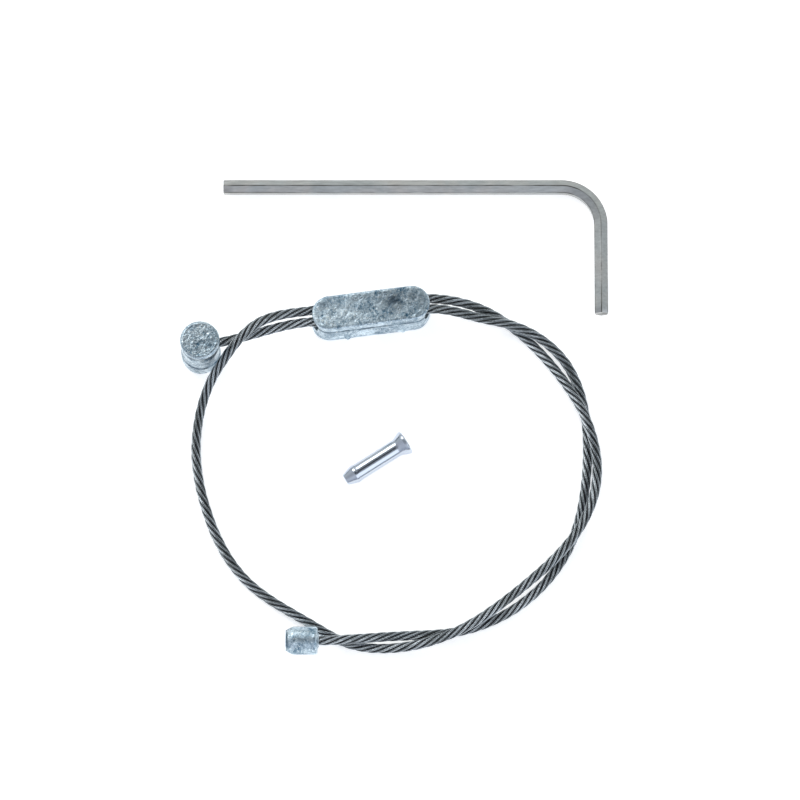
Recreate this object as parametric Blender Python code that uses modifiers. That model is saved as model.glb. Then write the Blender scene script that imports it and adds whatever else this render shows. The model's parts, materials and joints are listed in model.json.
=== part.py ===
"""Window restrictor cable: a steel wire rope with two cast ends, doubled through a clamp block,
with the crimp ferrule and the hex key that come with it, laid out on a flat surface.

+X runs along the key's long arm, +Y away from the viewer and +Z up from the surface. The origin
is on the surface, under the middle of the solid pieces.
"""

from math import cos, pi, radians, sin, sqrt

import bmesh
import bpy
import numpy as np
from mathutils import Euler, Vector

MM = 0.001
GAP = 0.3 * MM

# Wire rope
ROPE_RADIUS = 0.75 * MM
ROPE_POINTS = 80

# Barrel nipple, cast on the rope's first end, standing on its flat end
BARREL_RADIUS = 3.03 * MM
BARREL_HEIGHT = 9.0 * MM
BARREL_AT = Vector((-29.35, 10.0, 0.0)) * MM
BARREL_EXIT_TURN = radians(15)
BARREL_EXIT_HEIGHT = 4.5 * MM

# Small nipple, cast on the rope's other end, its axis along X
NIPPLE_RADIUS = 2.15 * MM
NIPPLE_LENGTH = 4.8 * MM
NIPPLE_FACE_AT = Vector((-11.55, -35.1, 3.0)) * MM

# Clamp block, a bar with round ends and a channel for two passes of rope
BLOCK_LENGTH = 18.1 * MM
BLOCK_WIDTH = 5.5 * MM
BLOCK_HEIGHT = 6.2 * MM
BLOCK_EDGE = 0.45 * MM
BLOCK_AT = Vector((-3.6, 15.85, 0.0)) * MM
BLOCK_TURN = radians(7.5)
CHANNEL_WIDTH = 4.4 * MM
CHANNEL_LENGTH = 15.0 * MM
CHANNEL_FLOOR = 1.7 * MM
CHANNEL_ROOF = 5.65 * MM

# The channel's narrower mouths, as the distance of each wall from the block's axis
MOUTH_FLOOR = 2.6 * MM
MOUTH_ROOF = 5.55 * MM
MOUTH_FAR_SIDE = 2.1 * MM
LEFT_MOUTH_NEAR_SIDE = 1.72 * MM
RIGHT_MOUTH_NEAR_SIDE = 2.05 * MM

# M4 x 2.5 grub screws with a 2 mm hex socket, fitted from the block's underside
SCREW_RADIUS = 1.9 * MM
SCREW_POINT_RADIUS = 1.25 * MM
SCREW_LENGTH = 2.5 * MM
SCREW_BASE = 0.1 * MM
SCREW_SPACING = 12.4 * MM
SOCKET_FLATS = 2.05 * MM
SOCKET_DEPTH = 1.4 * MM

# Crimp ferrule, a closed cap with a flared mouth, lying on its flare and its shoulder
FERRULE_LENGTH = 11.0 * MM
FERRULE_TIP_RADIUS = 0.88 * MM
FERRULE_SHOULDER_RADIUS = 1.42 * MM
FERRULE_SHOULDER_FROM_TIP = 1.75 * MM
FERRULE_BODY_RADIUS = 1.35 * MM
FERRULE_FLARE_RADIUS = 1.93 * MM
FERRULE_FLARE_LENGTH = 1.5 * MM
FERRULE_BORE_RADIUS = 0.95 * MM
FERRULE_MOUTH_RADIUS = 1.5 * MM
FERRULE_AT = Vector((-2.85, -6.95, 0.0)) * MM
FERRULE_TURN = radians(31.7)

# Hex key, 2 mm across flats, lying with a corner up
KEY_FLATS = 2.0 * MM
KEY_LONG = 58.5 * MM
KEY_SHORT = 21.0 * MM
KEY_BEND_RADIUS = 6.0 * MM
KEY_CORNER = Vector((32.38, 37.25, 0.0)) * MM

# The rope's route in millimetres, from the barrel nipple to the small nipple. Inside the block
# the points are along its axis, across it and up.
FROM_BARREL = [
    (-23.9, 11.4, 4.45),
    (-17.0, 13.4, 4.2),
]
FIRST_PASS = [
    (-9.0, -0.6, 4.3),
    (-5.0, -0.95, 4.45),
    (4.4, 0.95, 4.5),
    (9.0, 0.85, 3.9),
]
ROUND_THE_LOOP = [
    (12.9, 16.8, 2.1),
    (18.0, 14.0, 0.9),
    (24.4, 7.1, 1.65),
    (28.8, -0.4, 2.6),
    (30.5, -9.7, 2.0),
    (26.9, -19.0, 2.6),
    (19.0, -26.8, 2.0),
    (10.1, -33.2, 2.6),
    (1.4, -35.85, 1.9),
    (-7.4, -34.9, 0.8),
    (-12.7, -32.0, 0.8),
    (-22.3, -25.4, 0.8),
    (-28.4, -14.4, 0.8),
    (-30.0, -4.2, 1.0),
    (-27.9, 4.8, 3.2),
    (-25.3, 8.6, 5.5),
    (-20.9, 13.3, 5.9),
]
SECOND_PASS = [
    (-9.2, 1.15, 4.4),
    (-3.7, 0.95, 3.8),
    (0.0, 0.0, 2.65),
    (3.7, -0.95, 3.8),
    (9.0, -0.85, 4.1),
]
TO_THE_END = [
    (12.9, 15.0, 3.2),
    (18.1, 13.9, 2.65),
    (25.9, 8.3, 1.65),
    (28.9, -0.4, 0.85),
    (28.9, -9.6, 1.0),
    (26.8, -19.0, 0.85),
    (20.2, -28.1, 1.0),
    (10.1, -33.1, 0.8),
    (1.2, -34.1, 1.75),
    (-7.2, -34.85, 2.65),
]


def clear_scene():
    for obj in list(bpy.data.objects):
        bpy.data.objects.remove(obj, do_unlink=True)


def new_collection(name):
    collection = bpy.data.collections.new(name)
    bpy.context.scene.collection.children.link(collection)
    return collection


def finish_material(obj, colour, roughness, metallic):
    """Gives the object a plain material of its own."""
    material = bpy.data.materials.new(obj.name)
    material.use_nodes = True
    shader = material.node_tree.nodes["Principled BSDF"]
    shader.inputs["Base Color"].default_value = (*colour, 1.0)
    shader.inputs["Roughness"].default_value = roughness
    shader.inputs["Metallic"].default_value = metallic
    obj.data.materials.clear()
    obj.data.materials.append(material)


def add_object(name, data, collection):
    obj = bpy.data.objects.new(name, data)
    collection.objects.link(obj)
    return obj


def add_cutter(name, data, cutters):
    cutter = add_object(name, data, cutters)
    cutter.hide_render = True
    cutter.display_type = "WIRE"
    return cutter


def shade_round(mesh):
    mesh.shade_smooth()
    mesh.set_sharp_from_angle(angle=radians(35))


def block_point(along, across, up):
    """A point given in the block's own directions, in world coordinates."""
    axis = Vector((cos(BLOCK_TURN), sin(BLOCK_TURN), 0.0))
    side = Vector((-sin(BLOCK_TURN), cos(BLOCK_TURN), 0.0))
    return BLOCK_AT + axis * along + side * across + Vector((0.0, 0.0, up))


def rope_ends():
    """The middle of the rope's two end faces, each a gap away from its nipple."""
    away = Vector((cos(BARREL_EXIT_TURN), sin(BARREL_EXIT_TURN), 0.0))
    start = BARREL_AT + away * (BARREL_RADIUS + GAP)
    start.z = BARREL_EXIT_HEIGHT
    end = NIPPLE_FACE_AT + Vector((GAP, 0.0, 0.0))
    return start, end


def rope_route():
    """All of the route's own points, in order, in metres."""
    start, end = rope_ends()
    route = [start]
    route += [Vector(p) * MM for p in FROM_BARREL]
    route += [block_point(*(Vector(p) * MM)) for p in FIRST_PASS]
    route += [Vector(p) * MM for p in ROUND_THE_LOOP]
    route += [block_point(*(Vector(p) * MM)) for p in SECOND_PASS]
    route += [Vector(p) * MM for p in TO_THE_END]
    return np.array([*route, end])


def smooth_curve(points, count):
    """Evenly spaced points on the natural cubic spline through the given ones."""
    steps = np.linalg.norm(np.diff(points, axis=0), axis=1)
    at = np.concatenate([[0.0], np.cumsum(steps)])
    n = len(points)
    system = np.eye(n)
    right = np.zeros((n, 3))
    for i in range(1, n - 1):
        before, after = steps[i - 1], steps[i]
        system[i, i - 1 : i + 2] = before, 2 * (before + after), after
        rise = (points[i + 1] - points[i]) / after
        right[i] = 6 * (rise - (points[i] - points[i - 1]) / before)
    bend = np.linalg.solve(system, right)

    def place(distance):
        i = min(max(np.searchsorted(at, distance, side="right") - 1, 0), n - 2)
        length = steps[i]
        b = (distance - at[i]) / length
        a = 1 - b
        curved = (a**3 - a) * bend[i] + (b**3 - b) * bend[i + 1]
        return a * points[i] + b * points[i + 1] + curved * length**2 / 6

    dense = np.array([place(d) for d in np.linspace(0, at[-1], 40 * n)])
    run = np.concatenate([[0], np.cumsum(np.linalg.norm(np.diff(dense, axis=0), axis=1))])
    even = np.linspace(0, run[-1], count)
    return np.stack([np.interp(even, run, dense[:, k]) for k in range(3)], axis=1)


def poly_tube(name, points, radius, resolution, parts):
    """A tube with filled ends along a chain of points."""
    curve = bpy.data.curves.new(name, "CURVE")
    curve.dimensions = "3D"
    curve.bevel_depth = radius
    curve.bevel_resolution = resolution
    curve.use_fill_caps = True
    spline = curve.splines.new("POLY")
    spline.points.add(len(points) - 1)
    for point, place in zip(spline.points, points, strict=True):
        point.co = (*place, 1.0)
    return add_object(name, curve, parts)


def turned(name, profile, parts, steps=32):
    """A solid of revolution about Z, from (radius, height) points that run down its outer side."""
    mesh = bpy.data.meshes.new(name)
    corners = [(radius, 0.0, height) for radius, height in profile]
    edges = [(i, i + 1) for i in range(len(corners) - 1)]
    mesh.from_pydata(corners, edges, [])
    obj = add_object(name, mesh, parts)
    screw = obj.modifiers.new("turn", "SCREW")
    screw.steps = steps
    screw.render_steps = steps
    screw.use_merge_vertices = True
    screw.merge_threshold = 0.001 * MM
    return obj


def as_mesh(obj):
    """The object's shape with its modifiers applied, as a welded mesh on the same object."""
    graph = bpy.context.evaluated_depsgraph_get()
    mesh = bpy.data.meshes.new_from_object(obj.evaluated_get(graph))
    shape = bmesh.new()
    shape.from_mesh(mesh)
    bmesh.ops.remove_doubles(shape, verts=shape.verts, dist=0.001 * MM)
    shape.to_mesh(mesh)
    shape.free()
    return mesh


def hex_mesh(name, flats, depth, sides=6):
    """A prism about Z, its base on z = 0 and a corner towards +X."""
    mesh = bpy.data.meshes.new(name)
    shape = bmesh.new()
    corner = flats / 2 / cos(pi / sides)
    bmesh.ops.create_cone(
        shape, cap_ends=True, segments=sides, radius1=corner, radius2=corner, depth=depth
    )
    bmesh.ops.translate(shape, verts=shape.verts, vec=(0.0, 0.0, depth / 2))
    shape.to_mesh(mesh)
    shape.free()
    return mesh


def cut(obj, cutter):
    modifier = obj.modifiers.new(cutter.name, "BOOLEAN")
    modifier.operation = "DIFFERENCE"
    modifier.solver = "EXACT"
    modifier.object = cutter


def make_wire_rope(parts):
    points = smooth_curve(rope_route(), ROPE_POINTS)
    rope = poly_tube("wire_rope", points, ROPE_RADIUS, 2, parts)
    rope.data.splines[0].use_smooth = True
    finish_material(rope, (0.30, 0.31, 0.30), 0.35, 1.0)


def make_barrel_nipple(parts):
    edge = 0.35 * MM
    top = BARREL_HEIGHT
    profile = [
        (0.0, top),
        (BARREL_RADIUS - edge, top),
        (BARREL_RADIUS, top - edge),
        (BARREL_RADIUS, edge),
        (BARREL_RADIUS - edge, 0.0),
        (0.0, 0.0),
    ]
    barrel = turned("barrel_nipple", profile, parts)
    barrel.location = BARREL_AT
    finish_material(barrel, (0.55, 0.58, 0.60), 0.40, 1.0)


def make_end_nipple(parts):
    """Its local Z runs from the rope's face to the domed free end."""
    edge = 0.2 * MM
    dome = 1.0 * MM
    flat = 1.1 * MM
    shoulder = NIPPLE_RADIUS - flat
    arc = [radians(a) for a in (90, 60, 30, 0)]
    profile = [(0.0, NIPPLE_LENGTH)]
    profile += [
        (flat + shoulder * cos(a), NIPPLE_LENGTH - dome + dome * sin(a)) for a in arc
    ]
    profile += [(NIPPLE_RADIUS, edge), (NIPPLE_RADIUS - edge, 0.0), (0.0, 0.0)]
    nipple = turned("end_nipple", profile, parts, steps=28)
    nipple.location = NIPPLE_FACE_AT
    nipple.rotation_euler = (0.0, -pi / 2, 0.0)
    finish_material(nipple, (0.58, 0.61, 0.63), 0.38, 1.0)


def stadium_curve(name, length, width, thickness):
    """A flat bar with round ends, centred on its own origin."""
    curve = bpy.data.curves.new(name, "CURVE")
    curve.dimensions = "2D"
    curve.fill_mode = "BOTH"
    curve.extrude = thickness / 2
    radius = width / 2
    reach = length / 2 - radius
    segments = 10
    outline = []
    for end, first in ((1, -pi / 2), (-1, pi / 2)):
        for i in range(segments + 1):
            angle = first + pi * i / segments
            outline.append((end * reach + radius * cos(angle), radius * sin(angle), 0.0))
    spline = curve.splines.new("POLY")
    spline.points.add(len(outline) - 1)
    for point, place in zip(spline.points, outline, strict=True):
        point.co = (*place, 1.0)
    spline.use_cyclic_u = True
    return curve


def make_clamp_block(parts, cutters):
    outline = stadium_curve("block_outline", BLOCK_LENGTH, BLOCK_WIDTH, BLOCK_HEIGHT)
    flat = add_object("block_outline", outline, parts)
    bpy.context.view_layer.update()
    mesh = as_mesh(flat)
    bpy.data.objects.remove(flat)
    shade_round(mesh)
    block = add_object("clamp_block", mesh, parts)
    block.location = BLOCK_AT + Vector((0.0, 0.0, BLOCK_HEIGHT / 2))
    block.rotation_euler = (0.0, 0.0, BLOCK_TURN)
    bevel = block.modifiers.new("edges", "BEVEL")
    bevel.width = BLOCK_EDGE
    bevel.segments = 2
    bevel.limit_method = "ANGLE"
    bevel.angle_limit = radians(50)
    for cutter in channel_cutters(cutters):
        cut(block, cutter)
    for side, name in ((-1, "left"), (1, "right")):
        cut(block, screw_hole_cutter(side, name, cutters))
    finish_material(block, (0.52, 0.56, 0.60), 0.38, 1.0)


def box_cutter(name, low, high, cutters):
    """A box between two corners given in the block's own directions."""
    low, high = Vector(low), Vector(high)
    mesh = bpy.data.meshes.new(name)
    shape = bmesh.new()
    bmesh.ops.create_cube(shape, size=1.0)
    bmesh.ops.scale(shape, verts=shape.verts, vec=high - low)
    shape.to_mesh(mesh)
    shape.free()
    cutter = add_cutter(name, mesh, cutters)
    cutter.location = block_point(*((low + high) / 2))
    cutter.rotation_euler = (0.0, 0.0, BLOCK_TURN)
    return cutter


def channel_cutters(cutters):
    """The channel inside the block and the narrower mouths at its two ends."""
    side = CHANNEL_WIDTH / 2
    end = CHANNEL_LENGTH / 2
    inside = end - 0.5 * MM
    outside = BLOCK_LENGTH
    return [
        box_cutter("channel", (-end, -side, CHANNEL_FLOOR), (end, side, CHANNEL_ROOF), cutters),
        box_cutter(
            "left_mouth",
            (-outside, -LEFT_MOUTH_NEAR_SIDE, MOUTH_FLOOR),
            (-inside, MOUTH_FAR_SIDE, MOUTH_ROOF),
            cutters,
        ),
        box_cutter(
            "right_mouth",
            (inside, -RIGHT_MOUTH_NEAR_SIDE, MOUTH_FLOOR),
            (outside, MOUTH_FAR_SIDE, MOUTH_ROOF),
            cutters,
        ),
    ]


def screw_hole_cutter(side, name, cutters):
    """A round hole from below the block up into its channel."""
    above_floor = 0.3 * MM
    below = 1.0 * MM
    depth = below + MOUTH_FLOOR + above_floor
    mesh = hex_mesh(f"screw_hole_{name}", 2 * (SCREW_RADIUS + GAP), depth, sides=24)
    cutter = add_cutter(f"screw_hole_{name}", mesh, cutters)
    cutter.location = block_point(side * SCREW_SPACING / 2, 0.0, -below)
    cutter.rotation_euler = (0.0, 0.0, BLOCK_TURN)
    return cutter


def make_grub_screw(side, name, parts, cutters):
    """A set screw whose hex socket opens downwards, its origin on its own axis."""
    chamfer = SCREW_RADIUS - SCREW_POINT_RADIUS
    edge = 0.25 * MM
    profile = [
        (0.0, SCREW_LENGTH),
        (SCREW_POINT_RADIUS, SCREW_LENGTH),
        (SCREW_RADIUS, SCREW_LENGTH - chamfer),
        (SCREW_RADIUS, edge),
        (SCREW_RADIUS - edge, 0.0),
        (0.0, 0.0),
    ]
    screw = turned(f"grub_screw_{name}", profile, parts, steps=24)
    place = block_point(side * SCREW_SPACING / 2, 0.0, SCREW_BASE)
    screw.location = place
    below = 0.5 * MM
    mesh = hex_mesh(f"socket_{name}", SOCKET_FLATS, SOCKET_DEPTH + below)
    socket = add_cutter(f"socket_{name}", mesh, cutters)
    socket.location = place - Vector((0.0, 0.0, below))
    cut(screw, socket)
    finish_material(screw, (0.10, 0.10, 0.11), 0.45, 1.0)


def make_crimp_ferrule(parts):
    """Turned about its own Z, tip down, then laid on its flare and its shoulder."""
    length = FERRULE_LENGTH
    neck = length - FERRULE_FLARE_LENGTH
    step = 0.5 * MM
    bore_depth = length - 2.2 * MM
    profile = [
        (0.0, length - bore_depth),
        (FERRULE_BORE_RADIUS, length - bore_depth),
        (FERRULE_BORE_RADIUS, neck),
        (FERRULE_MOUTH_RADIUS, length - step),
        (FERRULE_MOUTH_RADIUS, length),
        (FERRULE_FLARE_RADIUS - 0.1 * MM, length),
        (FERRULE_FLARE_RADIUS, length - 0.1 * MM),
        (FERRULE_FLARE_RADIUS, length - step),
        (FERRULE_BODY_RADIUS, neck),
        (FERRULE_BODY_RADIUS, FERRULE_SHOULDER_FROM_TIP + step),
        (FERRULE_SHOULDER_RADIUS, FERRULE_SHOULDER_FROM_TIP + 0.1 * MM),
        (FERRULE_SHOULDER_RADIUS, FERRULE_SHOULDER_FROM_TIP),
        (FERRULE_TIP_RADIUS, 0.0),
        (0.0, 0.0),
    ]
    ferrule = turned("crimp_ferrule", profile, parts, steps=28)
    run = length - step - FERRULE_SHOULDER_FROM_TIP
    lean = np.arcsin((FERRULE_FLARE_RADIUS - FERRULE_SHOULDER_RADIUS) / run)
    axis = Euler((0.0, pi / 2 - lean, FERRULE_TURN)).to_matrix() @ Vector((0.0, 0.0, 1.0))
    flare_height = FERRULE_FLARE_RADIUS * cos(lean)
    middle = axis * (length / 2)
    place = FERRULE_AT - middle
    place.z = flare_height - axis.z * (length - step) + 0.02 * MM
    ferrule.rotation_euler = (0.0, pi / 2 - lean, FERRULE_TURN)
    ferrule.location = place
    finish_material(ferrule, (0.80, 0.80, 0.82), 0.15, 1.0)


def make_hex_key(parts):
    corner_radius = KEY_FLATS / sqrt(3)
    half = KEY_FLATS / 2
    right = KEY_CORNER.x - half
    top = KEY_CORNER.y - half
    steps = 10
    path = [(KEY_CORNER.x - KEY_LONG, top)]
    for i in range(steps + 1):
        angle = pi / 2 * (1 - i / steps)
        x = right - KEY_BEND_RADIUS + KEY_BEND_RADIUS * cos(angle)
        y = top - KEY_BEND_RADIUS + KEY_BEND_RADIUS * sin(angle)
        path.append((x, y))
    path.append((right, KEY_CORNER.y - KEY_SHORT))
    points = [(x, y, corner_radius) for x, y in path]
    key = poly_tube("hex_key", points, corner_radius, 1, parts)
    key.data.splines[0].use_smooth = False
    for point in key.data.splines[0].points:
        point.tilt = pi / 6
    finish_material(key, (0.55, 0.54, 0.52), 0.35, 1.0)


def main():
    clear_scene()
    parts = new_collection("window_restrictor_cable")
    cutters = new_collection("cutters")
    make_wire_rope(parts)
    make_barrel_nipple(parts)
    make_end_nipple(parts)
    make_clamp_block(parts, cutters)
    for side, name in ((-1, "left"), (1, "right")):
        make_grub_screw(side, name, parts, cutters)
    make_crimp_ferrule(parts)
    make_hex_key(parts)


main()
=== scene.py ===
"""Window restrictor cable: steel rope, cast zinc ends and clamp block, ferrule and hex key."""

import json
from math import atan2, ceil, cos, exp, pi, radians, sin, sqrt, tan

import bmesh
import bpy
import numpy as np
from bpy.props import FloatProperty, FloatVectorProperty, IntProperty, PointerProperty
from mathutils import Matrix, Vector, noise


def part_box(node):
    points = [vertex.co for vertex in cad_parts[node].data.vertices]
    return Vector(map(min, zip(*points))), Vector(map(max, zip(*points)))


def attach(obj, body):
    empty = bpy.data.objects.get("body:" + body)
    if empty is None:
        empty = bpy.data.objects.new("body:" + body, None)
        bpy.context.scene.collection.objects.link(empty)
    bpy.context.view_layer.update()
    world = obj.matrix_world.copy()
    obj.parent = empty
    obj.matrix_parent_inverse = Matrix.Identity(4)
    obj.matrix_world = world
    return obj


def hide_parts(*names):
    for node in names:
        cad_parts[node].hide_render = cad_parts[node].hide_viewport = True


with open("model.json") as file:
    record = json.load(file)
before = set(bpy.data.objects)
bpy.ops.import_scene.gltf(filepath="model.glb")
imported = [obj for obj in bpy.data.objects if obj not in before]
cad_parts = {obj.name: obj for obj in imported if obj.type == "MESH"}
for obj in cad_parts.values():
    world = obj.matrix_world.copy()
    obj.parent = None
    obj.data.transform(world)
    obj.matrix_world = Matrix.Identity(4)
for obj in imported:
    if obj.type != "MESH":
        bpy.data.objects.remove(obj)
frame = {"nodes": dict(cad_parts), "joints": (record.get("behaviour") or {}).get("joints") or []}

bl_info = {
    "name": "Window Restrictor Cable",
    "version": (1, 0, 0),
    "blender": (4, 5, 0),
    "location": "View3D > Sidebar > Restrictor",
    "description": "Builds the rope, castings, ferrule and key of a window restrictor cable",
    "category": "Object",
}

MM = 0.001
UP = Vector((0.0, 0.0, 1.0))
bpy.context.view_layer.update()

# The rope's route in millimetres, from the barrel nipple to the small nipple. Inside the block
# the points are along its axis, across it and up.
FROM_BARREL = [
    (-23.9, 11.4, 4.45), (-17.0, 13.4, 4.2),
]
FIRST_PASS = [
    (-9.0, -0.6, 4.3), (-5.0, -0.95, 4.45), (4.4, 0.95, 4.5), (9.0, 0.85, 3.9),
]
ROUND_THE_LOOP = [
    (12.9, 16.8, 2.1), (18.0, 14.0, 0.9), (24.4, 7.1, 1.65), (28.8, -0.4, 2.6),
    (30.5, -9.7, 2.0), (26.9, -19.0, 2.6), (19.0, -26.8, 2.0), (10.1, -33.2, 2.6),
    (1.4, -35.85, 1.9), (-7.4, -34.9, 0.8), (-12.7, -32.0, 0.8), (-22.3, -25.4, 0.8),
    (-28.4, -14.4, 0.8), (-30.0, -4.2, 1.0), (-27.9, 4.8, 3.2), (-25.3, 8.6, 5.5),
    (-20.9, 13.3, 5.9),
]
SECOND_PASS = [
    (-9.2, 1.15, 4.4), (-3.7, 0.95, 3.8), (0.0, 0.0, 2.65), (3.7, -0.95, 3.8),
    (9.0, -0.85, 4.1),
]
TO_THE_END = [
    (12.9, 15.0, 3.2), (18.1, 13.9, 2.65), (25.9, 8.3, 1.65), (28.9, -0.4, 0.85),
    (28.9, -9.6, 1.0), (26.8, -19.0, 0.85), (20.2, -28.1, 1.0), (10.1, -33.1, 0.8),
    (1.2, -34.1, 1.75), (-7.2, -34.85, 2.65),
]

# The block's hollow and its two narrower mouths, each a box between two corners, and the darker
# patches painted on its top, each a place, a size and a strength. In millimetres, as inside the
# block.
BLOCK_HOLLOWS = [
    ((-7.5, -2.2, 1.7), (7.5, 2.2, 5.65)),
    ((-18.0, -1.72, 2.6), (-7.0, 2.1, 5.55)),
    ((7.0, -2.05, 2.6), (18.0, 2.1, 5.55)),
]
BLOCK_DARK_PATCHES = [
    # The large patch at the right is painted shade.
    ((4.2, 0.6, 6.2), (4.0, 1.5, 1.0), 0.90),
    ((-7.0, 1.4, 6.2), (1.6, 0.9, 1.0), 0.45),
]
PARTING_SHARE = 0.70


# Places and sizes read from the frame


def corners_of(node):
    """The corner points of a CAD node."""
    return [v.co for v in frame["nodes"][node].data.vertices]


def reach(node, direction):
    """How far a node goes each way along a direction."""
    along = [corner.dot(direction) for corner in corners_of(node)]
    return min(along), max(along)


def joint(name):
    """What the frame says of a joint."""
    return next(j for j in frame["joints"] if j["name"] == name)


def middle(node):
    """The middle of a CAD node's box."""
    low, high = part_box(node)
    return (low + high) / 2


BLOCK_AXIS = Vector(joint("block_slide")["axis"]).normalized()
BLOCK_SIDE = UP.cross(BLOCK_AXIS)
BLOCK_FOOT = Vector((middle("clamp_block").x, middle("clamp_block").y, 0.0))
BARREL_FOOT = Vector((middle("barrel_nipple").x, middle("barrel_nipple").y, 0.0))
BARREL_RADIUS = (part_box("barrel_nipple")[1].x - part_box("barrel_nipple")[0].x) / 2
BARREL_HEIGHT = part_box("barrel_nipple")[1].z
NIPPLE_LOW, NIPPLE_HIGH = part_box("end_nipple")
BARREL_EXIT_TURN = radians(15)
ROPE_GAP = 0.3 * MM  # between the CAD rope's ends and the castings
ROPE_BITE = 0.9 * MM  # from the CAD rope's ends to the drawn rope's ends inside the castings
ROPE_STEP = 0.47 * MM  # between the rings of a strand
SKIN_ROOM = 0.05 * MM  # kept for the castings' rough skin
FLOOR_GAP = 0.02 * MM  # between the floor and the pieces
SAME_POINT = 0.0005 * MM  # points closer than this are merged


# Sizes and colours that a user may change


def colour_property(name, description, default):
    return FloatVectorProperty(
        name=name, description=description, default=default, subtype="COLOR", min=0.0, max=1.0
    )


def length_property(name, description, default):
    return FloatProperty(
        name=name, description=description, default=default, unit="LENGTH", precision=6
    )


class RopeSettings(bpy.types.PropertyGroup):
    diameter: length_property("Diameter", "Rope diameter", 0.0015)
    lay: length_property("Lay", "Length of one turn of a strand", 0.0104)
    wire_lay: length_property("Wire lay", "Length of one turn of a wire", 0.012)
    strands: IntProperty(name="Strands", description="Outer strands", default=6, min=3)
    crest: colour_property("Crest", "Bright wire on the outside", (0.62, 0.67, 0.71))
    # The valley colour is painted shade with grease between the strands.
    valley_shade: colour_property("Valley", "Dark steel between the strands", (0.014, 0.019, 0.023))


class CastingSettings(bpy.types.PropertyGroup):
    light: colour_property("Light zinc", "Bright patches of the cast skin", (0.71, 0.83, 0.90))
    dark: colour_property("Dark zinc", "Dull patches of the cast skin", (0.050, 0.125, 0.195))
    roughen: length_property("Roughen", "Height of the cast skin's lumps", 0.00003)
    edge: length_property("Edge", "Radius of the cast edges", 0.0004)


class LooseSettings(bpy.types.PropertyGroup):
    ferrule: colour_property("Ferrule", "Polished ferrule", (0.56, 0.61, 0.68))
    key: colour_property("Key", "Plated key steel", (0.425, 0.443, 0.443))
    key_edge: length_property("Key edge", "Radius of the key's corners", 0.00012)
    screw: colour_property("Screw", "Blackened screw steel", (0.07, 0.07, 0.075))
    pitch: length_property("Thread pitch", "Pitch of the grub screws", 0.0007)


class StageSettings(bpy.types.PropertyGroup):
    elevation: FloatProperty(
        name="Elevation", description="Camera height above the horizon", default=radians(75),
        subtype="ANGLE",
    )
    distance: length_property("Distance", "Camera distance", 1.1)
    field: length_property("Field", "Width of the view at the object", 0.1212)
    floor: colour_property("Floor", "Floor colour", (0.96, 0.96, 0.96))


class CableSettings(bpy.types.PropertyGroup):
    rope: PointerProperty(type=RopeSettings)
    casting: PointerProperty(type=CastingSettings)
    loose: PointerProperty(type=LooseSettings)
    stage: PointerProperty(type=StageSettings)


def settings():
    """The sizes and colours in use."""
    return bpy.context.scene.restrictor_cable


# Shader node groups


def link(tree, source, target):
    """Joins an output to an input, or sets the input to a number or a colour."""
    if isinstance(source, bpy.types.NodeSocket):
        tree.links.new(source, target)
    elif isinstance(source, (int, float)):
        target.default_value = source
    else:
        target.default_value = (*source, 1.0)[:4]


def new_group(name, inputs, outputs):
    """An empty shader group with sockets given as (name, kind, default)."""
    group = bpy.data.node_groups.new(name, "ShaderNodeTree")
    for label, kind, default in inputs:
        socket = group.interface.new_socket(
            name=label, in_out="INPUT", socket_type=f"NodeSocket{kind}"
        )
        if default is not None:
            socket.default_value = default
    for label, kind in outputs:
        group.interface.new_socket(name=label, in_out="OUTPUT", socket_type=f"NodeSocket{kind}")
    return group, group.nodes.new("NodeGroupInput"), group.nodes.new("NodeGroupOutput")


def ramp(tree, source, *stops):
    """A colour ramp with grey or coloured stops given as (position, value)."""
    node = tree.nodes.new("ShaderNodeValToRGB")
    elements = node.color_ramp.elements
    while len(elements) < len(stops):
        elements.new(0.5)
    for element, (position, value) in zip(elements, stops, strict=True):
        element.position = position
        element.color = (*value, 1.0) if isinstance(value, tuple) else (value, value, value, 1.0)
    link(tree, source, node.inputs["Fac"])
    return node.outputs["Color"]


def remap(tree, source, low, high, to_low, to_high):
    """Stretches values between low and high to a new range, and clamps the rest."""
    node = tree.nodes.new("ShaderNodeMapRange")
    for index, value in enumerate((low, high, to_low, to_high), start=1):
        node.inputs[index].default_value = value
    link(tree, source, node.inputs["Value"])
    return node.outputs["Result"]


def mix_colours(tree, factor, first, second, blend="MIX"):
    """Mixes two colours, each a socket or a colour, by a socket or a number."""
    node = tree.nodes.new("ShaderNodeMix")
    node.data_type = "RGBA"
    node.blend_type = blend
    for index, value in ((0, factor), (6, first), (7, second)):
        link(tree, value, node.inputs[index])
    return node.outputs[2]


def maths(tree, operation, first, second):
    """A sum, product or other operation on two values, each a socket or a number."""
    node = tree.nodes.new("ShaderNodeMath")
    node.operation = operation
    link(tree, first, node.inputs[0])
    link(tree, second, node.inputs[1])
    return node.outputs[0]


def stored(tree, name):
    """A number that a mesh keeps at its points."""
    node = tree.nodes.new("ShaderNodeAttribute")
    node.attribute_name = name
    return node.outputs["Fac"]


def noise_of(tree, vector, scale, detail=4.0, rough=0.5, distortion=0.0):
    """Noise whose bumps are about 1 / scale metres across."""
    node = tree.nodes.new("ShaderNodeTexNoise")
    node.inputs["Detail"].default_value = detail
    node.inputs["Roughness"].default_value = rough
    node.inputs["Distortion"].default_value = distortion
    link(tree, vector, node.inputs["Vector"])
    link(tree, scale, node.inputs["Scale"])
    return node.outputs["Fac"]


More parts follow.
